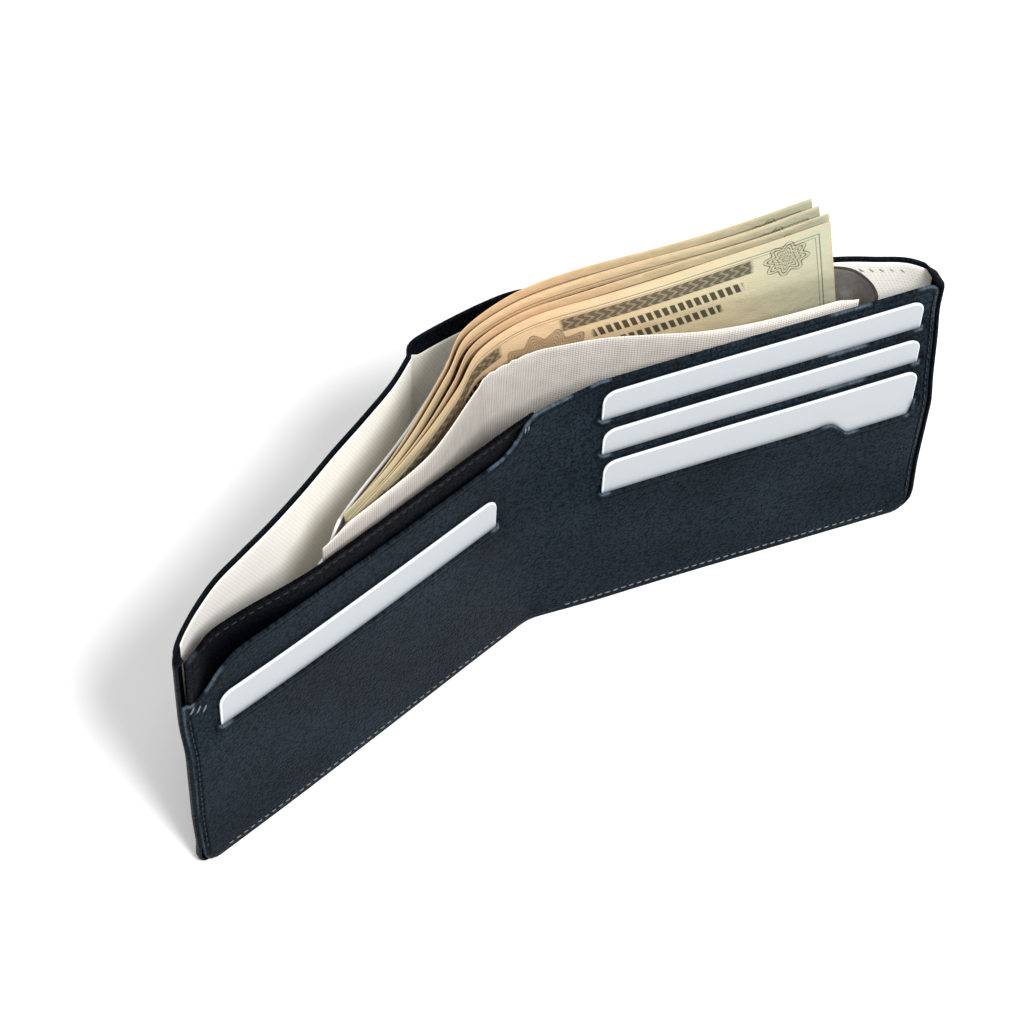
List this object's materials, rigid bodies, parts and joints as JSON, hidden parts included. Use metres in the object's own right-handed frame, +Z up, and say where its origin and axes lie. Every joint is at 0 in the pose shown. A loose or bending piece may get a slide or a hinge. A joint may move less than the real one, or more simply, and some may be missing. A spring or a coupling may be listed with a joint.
{
  "type": "bifold wallet",
  "caption": "Bifold leather wallet standing open, with card slots, a cloth-lined note section, blank cards and plain notes.",
  "frame": {"origin": "centre of the bounding box's underside, on the surface the wallet stands on", "axes": "+Z up along the fold, +X along the right wing away from the fold, +Y from the card face towards the back cover"},
  "size_m": [0.2156, 0.0778, 0.1183],
  "materials": {
    "face_leather": "fine pebbled grain, satin",
    "cover_leather": "fine pebbled grain, satin",
    "woven_cloth": "fine plain weave, matte",
    "lining_cloth": "fine dotted weave, matte",
    "suede": "napped, matte",
    "thread": "twisted polyester, matte",
    "blank_card": "smooth, satin",
    "note_paper": "printed, matte"
  },
  "bodies": {
    "right_wing": {"face_right": "face_leather", "slot_lining_bottom": "woven_cloth", "slot_lining_middle": "woven_cloth", "slot_lining_top": "woven_cloth", "panel_back_right": "woven_cloth", "divider_right": "woven_cloth", "note_pocket_rear_right": "suede", "lining_right": "lining_cloth", "cover_right": "cover_leather", "cover_spine": "cover_leather", "side_stitches_right": "thread", "bottom_stitches_right": "thread"},
    "left_wing": {"face_left": "face_leather", "slot_lining_left": "woven_cloth", "rear_panel_left": "face_leather", "panel_back_left": "woven_cloth", "divider_left": "woven_cloth", "note_pocket_rear_left": "suede", "lining_left": "lining_cloth", "cover_left": "cover_leather", "side_stitches_left": "thread", "bottom_stitches_left": "thread", "top_stitches_left": "thread", "bar_tack_outer": "thread", "bar_tack_fold": "thread"},
    "card_bottom": {"card_bottom": "blank_card"},
    "card_middle": {"card_middle": "blank_card"},
    "card_top": {"card_top": "blank_card"},
    "card_left": {"card_left": "blank_card"},
    "notes_right": {"note_1_right": "note_paper", "note_2_right": "note_paper", "note_3_right": "note_paper", "note_4_right": "note_paper"},
    "notes_left": {"note_1_left": "note_paper", "note_2_left": "note_paper", "note_3_left": "note_paper", "note_4_left": "note_paper"}
  },
  "joints": [
    {"name": "fold", "type": "hinge", "parent": "right_wing", "child": "left_wing", "pos_m": [-0.00236, -0.00185, 0], "axis": [0, 0, 1], "range_deg": [-20, 157]},
    {"name": "card_bottom_slide", "type": "slide", "parent": "right_wing", "child": "card_bottom", "axis": [0, 0, 1], "range_m": [0, 0.05]},
    {"name": "card_middle_slide", "type": "slide", "parent": "right_wing", "child": "card_middle", "axis": [0, 0, 1], "range_m": [0, 0.05]},
    {"name": "card_top_slide", "type": "slide", "parent": "right_wing", "child": "card_top", "axis": [0, 0, 1], "range_m": [0, 0.05]},
    {"name": "card_left_slide", "type": "slide", "parent": "left_wing", "child": "card_left", "axis": [0, 0, 1], "range_m": [0, 0.05]},
    {"name": "notes_slide", "type": "slide", "parent": "right_wing", "child": "notes_right", "axis": [0, 0, 1], "range_m": [-0.005, 0.05]},
    {"name": "notes_fold", "type": "hinge", "parent": "notes_right", "child": "notes_left", "pos_m": [-0.00236, -0.00185, 0], "axis": [0, 0, 1], "range_deg": [-20, 157]}
  ],
  "couplings": [
    {"joint": "notes_fold", "follows": "fold", "ratio": 1}
  ]
}
